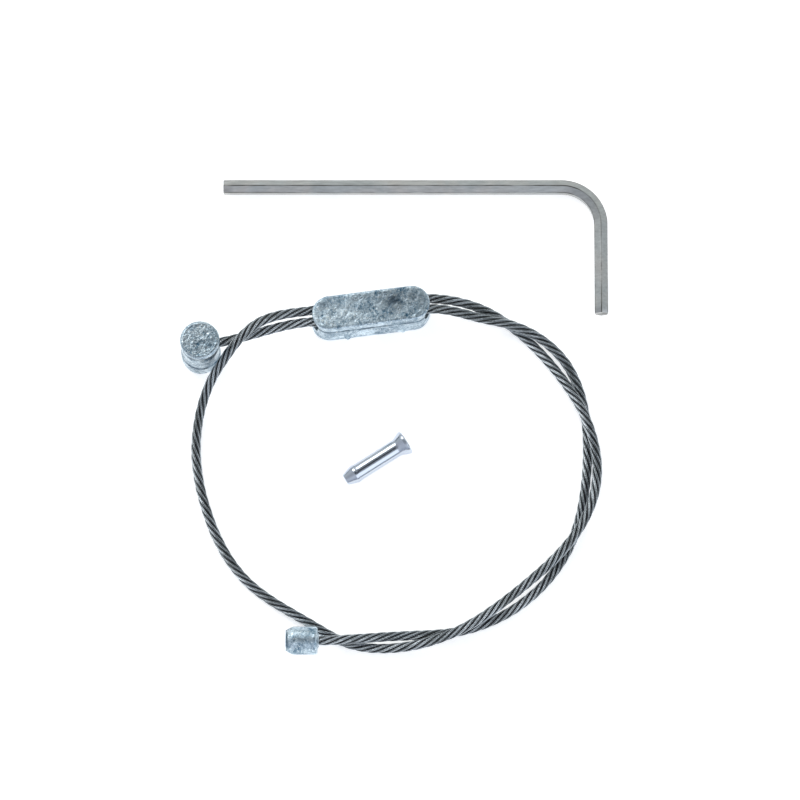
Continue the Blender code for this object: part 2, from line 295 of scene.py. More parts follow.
def cast_skin_group():
    """The mottled skin of a zinc casting: patches, fine speckle and bright flecks."""
    group, given, made = new_group(
        "Cast skin",
        [
            ("Vector", "Vector", None),
            ("Dark", "Color", (0.2, 0.25, 0.3, 1.0)),
            ("Light", "Color", (0.6, 0.65, 0.7, 1.0)),
            ("Patches", "Float", 700.0),
        ],
        [("Color", "Color"), ("Roughness", "Float"), ("Height", "Float")],
    )
    vector = given.outputs["Vector"]
    patches = given.outputs["Patches"]
    blotches = noise_of(group, vector, maths(group, "MULTIPLY", patches, 0.42), 2.0, 0.5, 0.5)
    broad = noise_of(group, vector, patches, 4.0, 0.6, 1.0)
    fine = noise_of(group, vector, maths(group, "MULTIPLY", patches, 5.0), 3.0, 0.65, 1.3)
    flecks = noise_of(group, vector, maths(group, "MULTIPLY", patches, 9.0), 2.0, 0.5, 0.6)
    patch = ramp(group, broad, (0.38, 0.0), (0.60, 1.0))
    speckle = ramp(group, fine, (0.40, 0.0), (0.60, 1.0))
    tone = mix_colours(group, 0.5, patch, speckle)
    shade = remap(group, blotches, 0.36, 0.60, 0.72, 1.15)
    toned = maths(group, "MULTIPLY", tone, shade)
    colour = mix_colours(group, toned, given.outputs["Dark"], given.outputs["Light"])
    bright = maths(group, "MULTIPLY", ramp(group, flecks, (0.58, 0.0), (0.68, 1.0)), shade)
    link(group, mix_colours(group, bright, colour, (0.84, 0.91, 0.92)), made.inputs["Color"])
    link(group, remap(group, broad, 0.3, 0.7, 0.42, 0.24), made.inputs["Roughness"])
    pits = maths(group, "ADD", maths(group, "MULTIPLY", flecks, 0.5), fine)
    link(group, maths(group, "ADD", pits, broad), made.inputs["Height"])
    return group


def edge_wear_and_groove_shade_group():
    """Where edges are rubbed bright, broken up by noise, and painted shade where the surface is
    hollow.
    """
    group, given, made = new_group(
        "Edge wear and groove shade",
        [("Vector", "Vector", None), ("Start", "Float", 0.52), ("End", "Float", 0.60)],
        [("Mask", "Float"), ("Groove shade", "Float")],
    )
    geometry = group.nodes.new("ShaderNodeNewGeometry")
    # Painted shade: hollows, where pointiness is low, are marked to take a dark colour.
    groove_shade = remap(group, geometry.outputs["Pointiness"], 0.485, 0.44, 0.0, 1.0)
    link(group, groove_shade, made.inputs["Groove shade"])
    sharp = group.nodes.new("ShaderNodeMapRange")
    link(group, geometry.outputs["Pointiness"], sharp.inputs["Value"])
    link(group, given.outputs["Start"], sharp.inputs["From Min"])
    link(group, given.outputs["End"], sharp.inputs["From Max"])
    broken = remap(group, noise_of(group, given.outputs["Vector"], 1500.0, 3.0), 0.3, 0.6, 0.3, 1.0)
    link(group, maths(group, "MULTIPLY", sharp.outputs["Result"], broken), made.inputs["Mask"])
    return group


def drawn_grain_group():
    """Fine lines along a drawn or turned surface."""
    group, given, made = new_group(
        "Drawn grain",
        [("Vector", "Vector", None), ("Scale", "Vector", (200.0, 4000.0, 4000.0))],
        [("Value", "Float"), ("Height", "Float")],
    )
    stretch = group.nodes.new("ShaderNodeVectorMath")
    stretch.operation = "MULTIPLY"
    link(group, given.outputs["Vector"], stretch.inputs[0])
    link(group, given.outputs["Scale"], stretch.inputs[1])
    lines = noise_of(group, stretch.outputs[0], 1.0, 5.0, 0.65)
    link(group, remap(group, lines, 0.3, 0.7, 0.0, 1.0), made.inputs["Value"])
    link(group, lines, made.inputs["Height"])
    return group


def handling_group():
    """Soft smudges left by handling: a mask that dulls the finish."""
    group, given, made = new_group(
        "Handling",
        [("Vector", "Vector", None), ("Scale", "Float", 160.0)],
        [("Mask", "Float")],
    )
    smudge = noise_of(group, given.outputs["Vector"], given.outputs["Scale"], 3.0, 0.55, 0.8)
    link(group, remap(group, smudge, 0.42, 0.68, 0.0, 1.0), made.inputs["Mask"])
    return group


GROUP_MAKERS = {
    "Cast skin": cast_skin_group,
    "Edge wear and groove shade": edge_wear_and_groove_shade_group,
    "Drawn grain": drawn_grain_group,
    "Handling": handling_group,
}


def place_group(tree, name, vector, **values):
    """One of the shared groups in a material, made on first use."""
    node = tree.nodes.new("ShaderNodeGroup")
    node.node_tree = bpy.data.node_groups.get(name) or GROUP_MAKERS[name]()
    link(tree, vector, node.inputs["Vector"])
    for label, value in values.items():
        node.inputs[label].default_value = value
    return node


def smudges(tree, vector, scale=160.0):
    """Where a surface has been handled, from 0 to 1."""
    return place_group(tree, "Handling", vector, Scale=scale).outputs["Mask"]


def drawn_lines(tree, vector, *scale):
    """Fine lines along a surface: a value from 0 to 1 and a height."""
    node = place_group(tree, "Drawn grain", vector, Scale=scale)
    return node.outputs["Value"], node.outputs["Height"]


def start_material(name):
    """A new material: its tree, its shader and the piece's own coordinates."""
    material = bpy.data.materials.new(name)
    material.use_nodes = True
    tree = material.node_tree
    shader = tree.nodes["Principled BSDF"]
    shader.inputs["Metallic"].default_value = 1.0
    own = tree.nodes.new("ShaderNodeTexCoord").outputs["Object"]
    return material, tree, shader, own


def finish(tree, shader, colour, rough, height, depth, strength):
    """Gives a shader its colour, its roughness and its fine relief."""
    link(tree, colour, shader.inputs["Base Color"])
    link(tree, rough, shader.inputs["Roughness"])
    node = tree.nodes.new("ShaderNodeBump")
    node.inputs["Strength"].default_value = strength
    node.inputs["Distance"].default_value = depth
    link(tree, height, node.inputs["Height"])
    link(tree, node.outputs["Normal"], shader.inputs["Normal"])


# Finishes


def cast_zinc(name, patches, tint):
    """As-cast zinc, mottled and pitted, rubbed bright on its edges, duller where smudged, and
    darkened by painted shade in its hollows and on its marked bands and patches.
    """
    given = settings().casting
    material, tree, shader, own = start_material(name)
    # The tint makes each casting's zinc darker or lighter as a whole, darker for the barrel and
    # lighter for the block and the nipple: painted shade and light on copies of one zinc.
    dark = (*[c * tint for c in given.dark], 1.0)
    light = (*[c * tint for c in given.light], 1.0)
    skin = place_group(tree, "Cast skin", own, Patches=patches, Dark=dark, Light=light)
    edges = place_group(tree, "Edge wear and groove shade", own)
    wear = edges.outputs["Mask"]
    smudge = smudges(tree, own)
    # Painted shade: the marked bands and patches, broken up by noise, and the hollows take a dark
    # zinc colour.
    patchy = remap(tree, noise_of(tree, own, 420.0), 0.36, 0.60, 0.25, 1.0)
    marked = maths(tree, "MULTIPLY", stored(tree, "painted_shade"), patchy)
    painted_shade = maths(tree, "MAXIMUM", edges.outputs["Groove shade"], marked)
    shaded_skin = mix_colours(tree, painted_shade, skin.outputs["Color"], (0.025, 0.052, 0.082))
    colour = mix_colours(tree, wear, shaded_skin, (0.62, 0.71, 0.77))
    dull = maths(tree, "MULTIPLY", smudge, 0.10)
    rough = maths(tree, "ADD", skin.outputs["Roughness"], dull)
    rubbed = maths(tree, "MULTIPLY", wear, 0.12)
    rough = maths(tree, "SUBTRACT", rough, rubbed)
    finish(tree, shader, colour, rough, skin.outputs["Height"], 0.00005, 0.8)
    return material


def rope_steel():
    """Bright wire, with painted shade and dark grease between the strands."""
    given = settings().rope
    material, tree, shader, own = start_material("rope steel")
    # Painted shade: the wire darkens to the valley colour towards the gaps between wires and
    # strands.
    valley_shade_mix = ramp(tree, stored(tree, "crest"), (0.25, 0.0), (0.65, 0.45), (0.95, 1.0))
    grain, relief = drawn_lines(tree, own, 3000.0, 3000.0, 3000.0)
    smudge = smudges(tree, own, 220.0)
    steel = mix_colours(tree, valley_shade_mix, given.valley_shade, given.crest)
    grease = maths(tree, "MULTIPLY", smudge, 0.55)
    aged = mix_colours(tree, grease, steel, (0.10, 0.115, 0.11))
    tone = remap(tree, grain, 0.0, 1.0, 0.70, 1.10)
    colour = mix_colours(tree, 1.0, aged, tone, "MULTIPLY")
    rough = remap(tree, grain, 0.0, 1.0, 0.16, 0.30)
    finish(tree, shader, colour, rough, relief, 0.00001, 0.5)
    return material


def polished_ferrule():
    """Polished cap metal with faint turning marks and smudges."""
    material, tree, shader, own = start_material("polished ferrule")
    grain, relief = drawn_lines(tree, own, 900.0, 900.0, 9000.0)
    smudge = smudges(tree, own, 400.0)
    wear = place_group(tree, "Edge wear and groove shade", own).outputs["Mask"]
    tarnish = maths(tree, "MULTIPLY", smudge, 0.35)
    colour = mix_colours(tree, tarnish, settings().loose.ferrule, (0.45, 0.49, 0.60))
    colour = mix_colours(tree, wear, colour, (0.66, 0.70, 0.76))
    rough = remap(tree, grain, 0.0, 1.0, 0.08, 0.17)
    rough = maths(tree, "ADD", rough, maths(tree, "MULTIPLY", smudge, 0.10))
    finish(tree, shader, colour, rough, relief, 0.000004, 0.5)
    return material


def key_steel():
    """Plated key steel with faint drawn lines, and dark, broken lines painted along its corners as
    their shade.
    """
    material, tree, shader, own = start_material("key steel")
    grain, relief = drawn_lines(tree, own, 500.0, 2600.0, 2600.0)
    spots = place_group(tree, "Cast skin", own, Patches=1500.0).outputs["Roughness"]
    smudge = smudges(tree, own, 120.0)
    broken = remap(tree, noise_of(tree, own, 260.0), 0.35, 0.60, 0.25, 1.0)
    # Painted shade: the rounded corners are darkened to thin broken lines.
    wear = maths(tree, "MULTIPLY", stored(tree, "corner"), broken)
    tarnish = maths(tree, "MULTIPLY", smudge, 0.5)
    warm = mix_colours(tree, tarnish, settings().loose.key, (0.57, 0.52, 0.48))
    tone = remap(tree, grain, 0.0, 1.0, 0.80, 1.15)
    drawn = mix_colours(tree, 1.0, warm, tone, "MULTIPLY")
    colour = mix_colours(tree, wear, drawn, (0.13, 0.13, 0.12))
    rough = remap(tree, spots, 0.24, 0.42, 0.28, 0.42)
    finish(tree, shader, colour, rough, relief, 0.00001, 0.6)
    return material


def black_oxide():
    """Blackened screw steel, rubbed to bare metal on its edges."""
    material, tree, shader, own = start_material("black oxide")
    wear = place_group(tree, "Edge wear and groove shade", own, Start=0.54, End=0.66).outputs["Mask"]
    smudge = smudges(tree, own, 600.0)
    grain, relief = drawn_lines(tree, own, 2500.0, 2500.0, 6000.0)
    oiled = mix_colours(tree, smudge, settings().loose.screw, (0.12, 0.115, 0.11))
    colour = mix_colours(tree, wear, oiled, (0.45, 0.45, 0.46))
    rough = remap(tree, grain, 0.0, 1.0, 0.32, 0.52)
    finish(tree, shader, colour, rough, relief, 0.00001, 0.5)
    return material


def floor_paper():
    """Plain pale paper with a faint tooth, lit a little from beneath."""
    material, tree, shader, own = start_material("floor paper")
    shader.inputs["Metallic"].default_value = 0.0
    shader.inputs["Emission Color"].default_value = (1.0, 1.0, 1.0, 1.0)
    shader.inputs["Emission Strength"].default_value = 0.52
    tooth = noise_of(tree, own, 900.0)
    shade = remap(tree, tooth, 0.3, 0.7, 0.985, 1.0)
    colour = mix_colours(tree, 1.0, settings().stage.floor, shade, "MULTIPLY")
    finish(tree, shader, colour, 0.9, tooth, 0.00001, 0.2)
    return material


# Mesh tools


def smooth_curve(points, spacing):
    """Evenly spaced points on the natural cubic spline through the given ones."""
    steps = np.linalg.norm(np.diff(points, axis=0), axis=1)
    at = np.concatenate([[0.0], np.cumsum(steps)])
    n = len(points)
    system = np.eye(n)
    right = np.zeros((n, 3))
    for i in range(1, n - 1):
        before, after = steps[i - 1], steps[i]
        system[i, i - 1 : i + 2] = before, 2 * (before + after), after
        rise = (points[i + 1] - points[i]) / after
        right[i] = 6 * (rise - (points[i] - points[i - 1]) / before)
    bend = np.linalg.solve(system, right)
    fine = np.linspace(0, at[-1], 100 * n)
    span = np.clip(np.searchsorted(at, fine, side="right") - 1, 0, n - 2)
    length = steps[span][:, None]
    b = (fine - at[span])[:, None] / length
    a = 1 - b
    curved = (a**3 - a) * bend[span] + (b**3 - b) * bend[span + 1]
    dense = a * points[span] + b * points[span + 1] + curved * length**2 / 6
    run = np.concatenate([[0], np.cumsum(np.linalg.norm(np.diff(dense, axis=0), axis=1))])
    even = np.linspace(0, run[-1], int(run[-1] / spacing) + 1)
    return np.stack([np.interp(even, run, dense[:, k]) for k in range(3)], axis=1)


def side_vectors(line):
    """Two directions across a line at each of its points, carried along without twisting."""
    ahead = np.gradient(line, axis=0)
    ahead /= np.linalg.norm(ahead, axis=1)[:, None]
    side = np.cross(ahead[0], [0.0, 0.0, 1.0])
    sides = []
    for direction in ahead:
        side = side - direction * side.dot(direction)
        side = side / np.linalg.norm(side)
        sides.append(side)
    sides = np.array(sides)
    return sides, np.cross(ahead, sides)


def ring_faces(rings, around):
    """Quads between neighbouring rings of equal size."""
    return [
        (i * around + j, (i + 1) * around + j, (i + 1) * around + k, i * around + k)
        for i in range(rings - 1)
        for j, k in ((j, (j + 1) % around) for j in range(around))
    ]


def new_object(name, data):
    """An object in the scene."""
    obj = bpy.data.objects.new(name, data)
    bpy.context.scene.collection.objects.link(obj)
    return obj


def add_piece(name, corners, faces, material, body, node, capped=False, merged=True):
    """Makes a closed mesh piece on a body, in place of a CAD node."""
    mesh = bpy.data.meshes.new(name)
    mesh.from_pydata([tuple(c) for c in corners], [], faces)
    shape = bmesh.new()
    shape.from_mesh(mesh)
    if merged:
        bmesh.ops.remove_doubles(shape, verts=shape.verts, dist=SAME_POINT)
    if capped:
        open_edges = [edge for edge in shape.edges if edge.is_boundary]
        bmesh.ops.holes_fill(shape, edges=open_edges)
    bmesh.ops.recalc_face_normals(shape, faces=shape.faces)
    shape.to_mesh(mesh)
    shape.free()
    mesh.materials.append(material)
    mesh.shade_smooth()
    obj = new_object(name, mesh)
    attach(obj, body)
    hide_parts(node)
    return obj


def filleted(corners, steps=6):
    """A profile from (radius, height, fillet radius) corners, each fillet an arc."""
    points = []
    for i, (x, z, fillet) in enumerate(corners):
        if not fillet or i in (0, len(corners) - 1):
            points.append(Vector((x, z)))
            continue
        here = Vector((x, z))
        before = (Vector(corners[i - 1][:2]) - here).normalized()
        after = (Vector(corners[i + 1][:2]) - here).normalized()
        half = before.angle(after) / 2
        back = fillet / tan(half)
        centre = here + (before + after).normalized() * (fillet / sin(half))
        first = here + before * back - centre
        last = here + after * back - centre
        turn = first.angle_signed(last)
        for k in range(steps + 1):
            angle = -turn * k / steps
            spun = Vector((
                first.x * cos(angle) - first.y * sin(angle),
                first.x * sin(angle) + first.y * cos(angle),
            ))
            points.append(centre + spun)
    return points


def finely(points, step):
    """The same chain of points with no stretch longer than a step."""
    chain = [points[0]]
    for before, after in zip(points, points[1:], strict=False):
        parts = max(1, ceil((after - before).length / step))
        chain += [before.lerp(after, k / parts) for k in range(1, parts + 1)]
    return chain


def round_ended(profile, reach_x=0.0, around=96, straight=0):
    """Rings of a turned shape, or of a bar with round ends when reach_x is more than 0."""
    half = around // 2
    angles = [-pi / 2 + pi * j / half for j in range(half + 1)]
    rings = []
    for radius, height in profile:
        ring = []
        for s in (1, -1):
            ring += [(s * (reach_x + radius * cos(a)), s * radius * sin(a), height) for a in angles]
            for k in range(1, straight):
                ring.append((s * reach_x * (1 - 2 * k / straight), s * radius, height))
        rings.append(ring if straight else ring[: half] + ring[half + 1 : -1])
    return rings


def turned(profile, step, around):
    """Corners and side faces of a shape turned about Z, with fine steps along its profile."""
    return rings_to_mesh(round_ended(finely(profile, step), around=around))


def rings_to_mesh(rings):
    """Corners and side faces for rings of equal size."""
    corners = [corner for ring in rings for corner in ring]
    return corners, ring_faces(len(rings), len(rings[0]))


def lumps(place, seed, size):
    """Smooth noise from -1 to 1 with bumps of about the given size."""
    shifted = place / size + Vector((seed * 7.3, seed * 3.1, seed * 5.7))
    return noise.fractal(shifted, 0.8, 2.1, 3)


def roughen(obj, height, seed, size=1.1 * MM):
    """Moves a piece's surface in and out by noise, as a rough mould leaves it."""
    mesh = obj.data
    for vertex, normal in zip(mesh.vertices, [v.normal.copy() for v in mesh.vertices], strict=True):
        offset = lumps(vertex.co, seed, size) + 0.5 * lumps(vertex.co, seed + 9, size / 4)
        vertex.co += normal * offset * height
    mesh.update()


def mark(mesh, name, values):
    """Stores a number at each point of a mesh, for its material to read."""
    attribute = mesh.attributes.new(name, "FLOAT", "POINT")
    attribute.data.foreach_set("value", values)


def add_painted_shade(obj, values):
    """Marks a piece's points for painted shade, on top of what is marked already."""
    if "painted_shade" not in obj.data.attributes:
        mark(obj.data, "painted_shade", values)
        return
    stored = obj.data.attributes["painted_shade"].data
    before = [0.0] * len(values)
    stored.foreach_get("value", before)
    stored.foreach_set("value", [max(pair) for pair in zip(before, values, strict=True)])


def shade_band(obj, low, high, strength=1.0):
    """Marks a level band of a piece, before it is placed, for painted shade."""
    centre, half = (low + high) / 2, (high - low) / 2
    heights = [vertex.co.z for vertex in obj.data.vertices]
    add_painted_shade(obj, [strength * max(0.0, 1 - ((z - centre) / half) ** 4) for z in heights])


def dark_patch(obj, centre, size, strength):
    """Marks a soft-edged spot of a piece, before it is placed, to be darkened."""
    values = []
    for vertex in obj.data.vertices:
        off = vertex.co - centre
        values.append(strength * exp(-sum((a / b) ** 2 for a, b in zip(off, size, strict=True))))
    add_painted_shade(obj, values)


def place_mesh(obj, matrix):
    """Moves a piece's mesh to its place, flat where it rests on the surface."""
    obj.data.transform(matrix)
    for vertex in obj.data.vertices:
        vertex.co.z = max(vertex.co.z, 0.0)
    obj.data.update()


def cut_away(obj, *cutters):
    """Takes the cutters' shapes out of a piece and removes them."""
    for cutter in cutters:
        modifier = obj.modifiers.new("cut", "BOOLEAN")
        modifier.object = cutter
    graph = bpy.context.evaluated_depsgraph_get()
    mesh = bpy.data.meshes.new_from_object(obj.evaluated_get(graph))
    obj.modifiers.clear()
    obj.data = mesh
    for cutter in cutters:
        bpy.data.objects.remove(cutter)


def cutter_from(shape):
    """An object made from a bmesh, which is freed."""
    mesh = bpy.data.meshes.new("cutter")
    shape.to_mesh(mesh)
    shape.free()
    return new_object("cutter", mesh)


def cutter_prism(sides, flats, low, high, place_x=0.0):
    """An upright prism between two heights, with the given distance across its flats."""
    shape = bmesh.new()
    corner = flats / 2 / cos(pi / sides)
    bmesh.ops.create_cone(
        shape, cap_ends=True, segments=sides, radius1=corner, radius2=corner, depth=high - low
    )
    bmesh.ops.translate(shape, verts=shape.verts, vec=(place_x, 0.0, (low + high) / 2))
    return cutter_from(shape)


def box_cutter(low, high):
    """A box with soft edges between two corners given in millimetres."""
    low, high = Vector(low) * MM, Vector(high) * MM
    shape = bmesh.new()
    bmesh.ops.create_cube(shape, size=1.0)
    bmesh.ops.scale(shape, verts=shape.verts, vec=high - low)
    bmesh.ops.translate(shape, verts=shape.verts, vec=(low + high) / 2)
    bmesh.ops.bevel(
        shape, geom=shape.edges[:], offset=0.45 * MM, segments=4, profile=0.5, affect="EDGES"
    )
    return cutter_from(shape)


def sharpen(obj, angle):
    """Shades edges sharp where they turn by more than the given degrees."""
    obj.data.set_sharp_from_angle(angle=radians(angle))


# Pieces


def block_point(along, across, up):
    """A place given along the block's axis, across it and up."""
    return BLOCK_FOOT + BLOCK_AXIS * along + BLOCK_SIDE * across + UP * up


def rope_line(spacing):
    """The rope's centreline, a little way into each casting."""
    away = Vector((cos(BARREL_EXIT_TURN), sin(BARREL_EXIT_TURN), 0.0))
    face = BARREL_FOOT + away * (BARREL_RADIUS + ROPE_GAP)
    face.z = BARREL_HEIGHT / 2
    last = Vector((NIPPLE_HIGH.x + ROPE_GAP, middle("end_nipple").y, middle("end_nipple").z))
    route = [face - away * ROPE_BITE, face]
    route += [Vector(p) * MM for p in FROM_BARREL]
    route += [block_point(*(Vector(p) * MM)) for p in FIRST_PASS]
    route += [Vector(p) * MM for p in ROUND_THE_LOOP]
    route += [block_point(*(Vector(p) * MM)) for p in SECOND_PASS]
    route += [Vector(p) * MM for p in TO_THE_END]
    route += [last, last - Vector((ROPE_BITE, 0.0, 0.0))]
    return smooth_curve(np.array(route), spacing)


def strand_outline(radius, wires=6, points=4):
    """The outline of a strand: a ring of wires round a middle one, as angles and radii."""
    wire = radius / 3
    outline = []
    for k in range(wires * points):
        angle = 2 * pi * k / (wires * points)
        off = (angle + pi / wires) % (2 * pi / wires) - pi / wires
        out = 2 * wire * cos(off) + sqrt(max(0.0, wire**2 - (2 * wire * sin(off)) ** 2))
        outline.append((angle, out))
    return np.array(outline)


def strand_mesh(line, strand):
    """One outer strand wound round the rope's line: corners and crest values."""
    given = settings().rope
    radius = given.diameter / 6
    across, over = side_vectors(line)
    run = np.concatenate([[0], np.cumsum(np.linalg.norm(np.diff(line, axis=0), axis=1))])
    wound = 2 * pi * (strand / given.strands - run / given.lay)
    spun = wound + 2 * pi * run / given.wire_lay + strand
    outline = strand_outline(radius)
    middle_x = 2 * radius * np.cos(wound)[:, None]
    middle_y = 2 * radius * np.sin(wound)[:, None]
    angle = spun[:, None] + outline[:, 0]
    x = middle_x + outline[:, 1] * np.cos(angle)
    y = middle_y + outline[:, 1] * np.sin(angle)
    corners = line[:, None] + across[:, None] * x[..., None] + over[:, None] * y[..., None]
    crest = (np.hypot(x, y) - 2 * radius) / radius
    return corners.reshape(-1, 3), crest.reshape(-1)


def core_mesh(line):
    """The plain core inside the outer strands: corners and crest values."""
    across, over = side_vectors(line)
    angles = np.arange(6) * pi / 3
    ring = across[:, None] * np.cos(angles)[:, None] + over[:, None] * np.sin(angles)[:, None]
    corners = (line[:, None] + ring * settings().rope.diameter / 6).reshape(-1, 3)
    return corners, np.zeros(len(corners))


def tube_faces(rings, around, start):
    """The sides and the two ends of a tube whose corners begin at the given index."""
    faces = [tuple(start + corner for corner in face) for face in ring_faces(rings, around)]
    last = start + rings * around - 1
    faces.append(tuple(start + k for k in range(around)))
    faces.append(tuple(last - k for k in range(around)))
    return faces


def make_rope():
    """Winds the outer strands over the core along the whole route."""
    given = settings().rope
    line = rope_line(ROPE_STEP)
    core = line[::2]
    tubes = [(line, *strand_mesh(line, strand)) for strand in range(given.strands)]
    tubes.append((core, *core_mesh(core)))
    corners, faces, crests = [], [], []
    for along, points, crest in tubes:
        faces += tube_faces(len(along), len(points) // len(along), len(corners))
        corners += points.tolist()
        crests += crest.tolist()
    rope = add_piece(
        "stranded_rope", corners, faces, rope_steel(), "cable", "wire_rope", merged=False
    )
    mark(rope.data, "crest", crests)
    sharpen(rope, 70)


def make_barrel():
    """The barrel stands on its flat end, with a flange at its top and a seam low down."""
    edge = settings().casting.edge
    r, h = BARREL_RADIUS - SKIN_ROOM, BARREL_HEIGHT - SKIN_ROOM
    flange, seam = h - 0.75 * MM, 0.31 * h
    inset, nick = 0.26 * MM, 0.12 * MM
    profile = filleted([
        (0.0, h - 0.06 * MM, 0), (r - 0.7 * MM, h - 0.06 * MM, 0), (r, h, edge),
        (r, flange, 0.15 * MM), (r - inset, flange - 0.25 * MM, 0.12 * MM),
        (r - inset, flange - 1.5 * MM, 0.5 * MM), (r - nick, flange - 2.1 * MM, 0.4 * MM),
        (r - nick, seam + 0.2 * MM, 0.05 * MM), (r - inset, seam, 0.05 * MM),
        (r, seam - 0.25 * MM, 0.1 * MM), (r, 0.0, edge), (0.0, 0.0, 0),
    ])
    shape = turned(profile, 0.13 * MM, 120)
    zinc = cast_zinc("barrel zinc", 520.0, 0.86)
    barrel = add_piece("cast_barrel", *shape, zinc, "cable", "barrel_nipple")
    roughen(barrel, 1.4 * settings().casting.roughen, 1)
    # Painted shadow under the flange's rim and painted shade in the seam's groove.
    shade_band(barrel, flange - 1.9 * MM, flange + 0.1 * MM)
    shade_band(barrel, seam - 0.25 * MM, seam + 0.2 * MM, 0.6)
    place_mesh(barrel, Matrix.Translation(BARREL_FOOT))


def make_end_nipple():
    """Turned about Z with the rope's face down, then laid along X."""
    length = NIPPLE_HIGH.x - NIPPLE_LOW.x
    r = (NIPPLE_HIGH.z - NIPPLE_LOW.z) / 2 - SKIN_ROOM
    shoulder = length - 1.1 * MM
    profile = filleted([
        (0.0, length - 0.1 * MM, 0), (1.30 * MM, length - 0.1 * MM, 0.1 * MM),
        (1.42 * MM, length, 0.06 * MM), (1.60 * MM, length - 0.04 * MM, 0.06 * MM),
        (1.58 * MM, length - 0.22 * MM, 0.03 * MM), (1.76 * MM, length - 0.34 * MM, 0.1 * MM),
        (r, shoulder, 0.9 * MM), (r, 0.0, 0.40 * MM),
        (1.25 * MM, 0.0, 0), (1.0 * MM, -0.18 * MM, 0.08 * MM), (0.0, -0.18 * MM, 0),
    ])
    shape = turned(profile, 0.12 * MM, 108)
    zinc = cast_zinc("nipple zinc", 600.0, 1.08)
    nipple = add_piece("cast_nipple", *shape, zinc, "cable", "end_nipple")
    roughen(nipple, 0.8 * settings().casting.roughen, 4)
    # Painted shade in the step round the outer end.
    shade_band(nipple, length - 0.36 * MM, length - 0.12 * MM)
    centre = middle("end_nipple")
    turn = Matrix.Rotation(-pi / 2, 4, "Y")
    place_mesh(nipple, Matrix.Translation((NIPPLE_HIGH.x, centre.y, centre.z)) @ turn)


def block_profile(half, height):
    """The block's section from the middle of its top to the middle of its bottom."""
    edge = 0.75 * settings().casting.edge
    parting = PARTING_SHARE * height
    plate = half - 0.10 * MM
    groove = 0.20 * MM
    return filleted([
        (0.0, height, 0), (plate, height, edge), (plate, parting + 0.25 * MM, 0.08 * MM),
        (plate - groove, parting, 0.08 * MM), (plate, parting - 0.35 * MM, 0.10 * MM),
        (half, 1.0 * MM, 0.5 * MM), (half, 0.0, edge), (0.0, 0.0, 0),
    ])


def make_block():
    """The block is made along X about its foot, hollowed and then laid in its place."""
    start, end = reach("clamp_block", BLOCK_AXIS)
    low, high = reach("clamp_block", BLOCK_SIDE)
    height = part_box("clamp_block")[1].z
    half = (high - low) / 2
    reach_x = (end - start) / 2 - half
    profile = finely(block_profile(half, height), 0.14 * MM)
    rings = round_ended(profile, reach_x, around=72, straight=90)
    zinc = cast_zinc("block zinc", 430.0, 1.08)
    block = add_piece("cast_block", *rings_to_mesh(rings), zinc, "block", "clamp_block")
    roughen(block, settings().casting.roughen, 2)
    crown(block, height, reach_x + half)
    add_nibs(block, half, reach_x)
    hollows = [box_cutter(low, high) for low, high in BLOCK_HOLLOWS]
    hole_width, hole_bottom, hole_top, hole_place = 4.04 * MM, -1.0 * MM, 2.9 * MM, 6.2 * MM
    for place in (-hole_place, hole_place):
        hollows.append(cutter_prism(48, hole_width, hole_bottom, hole_top, place))
    cut_away(block, *hollows)
    parting = PARTING_SHARE * height
    # Painted shade in the parting groove and on the shoulder below it.
    shade_band(block, parting - 0.6 * MM, parting + 0.2 * MM, 0.8)
    # Darker patches on the top, the large one at the right painted shade.
    for place, size, strength in BLOCK_DARK_PATCHES:
        dark_patch(block, Vector(place) * MM, Vector(size) * MM, strength)
    turn = Matrix.Rotation(atan2(BLOCK_AXIS.y, BLOCK_AXIS.x), 4, "Z")
    place_mesh(block, Matrix.Translation(BLOCK_FOOT) @ turn)
    sharpen(block, 50)


def crown(block, height, length):
    """Lowers the top's ends a little, so that the face is faintly convex."""
    drop = 0.16 * MM
    for vertex in block.data.vertices:
        share = max(0.0, vertex.co.z / height - 0.8) / 0.2
        vertex.co.z -= drop * share * (vertex.co.x / length) ** 2
    block.data.update()


def add_nibs(block, half, reach_x):
    """Two small broken-off casting gates low on the near side."""
    size, height = 0.42 * MM, 0.36 * MM
    for along in (-0.62 * reach_x, 0.72 * reach_x):
        spot = Vector((along, -half, 0.7 * MM))
        for vertex in block.data.vertices:
            gap = (vertex.co - spot).length
            if gap < 2 * size:
                vertex.co.y -= height * (0.5 + 0.5 * cos(pi * gap / (2 * size))) ** 2
    block.data.update()


def make_screw(side, node, body):
    """A set screw with real threads, its hex socket opening downwards."""
    low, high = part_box(node)
    radius = (high.x - low.x) / 2 + 0.07 * MM
    length = high.z - low.z
    pitch = settings().loose.pitch
    chamfer = 0.62 * MM
    profile = filleted([
        (0.0, length - 0.35 * MM, 0), (0.55 * MM, length - 0.35 * MM, 0),
        (radius - chamfer, length, 0.05 * MM), (radius, length - chamfer, 0),
        (radius, 0.3 * MM, 0), (radius - 0.3 * MM, 0.0, 0.04 * MM), (0.0, 0.0, 0),
    ])
    shape = turned(profile, 0.07 * MM, 72)
    steel = bpy.data.materials.get("black oxide") or black_oxide()
    screw = add_piece(f"threaded_{node}", *shape, steel, body, node)
    depth = 0.36 * MM
    for vertex in screw.data.vertices:
        out = Vector((vertex.co.x, vertex.co.y, 0.0))
        if out.length > radius - chamfer:
            turn = (vertex.co.z / pitch - atan2(out.y, out.x) / (2 * pi)) % 1.0
            root = radius - depth * (1 - abs(2 * turn - 1))
            if out.length > root:
                vertex.co.xy = out.xy * (root / out.length)
    socket_flats, socket_depth = 2.05 * MM, 1.4 * MM
    cut_away(screw, cutter_prism(6, socket_flats, -0.5 * MM, socket_depth))
    place = Vector(joint(f"screw_{side}_turn")["pos_m"])
    place.z = low.z
    place_mesh(screw, Matrix.Translation(place))
    sharpen(screw, 35)


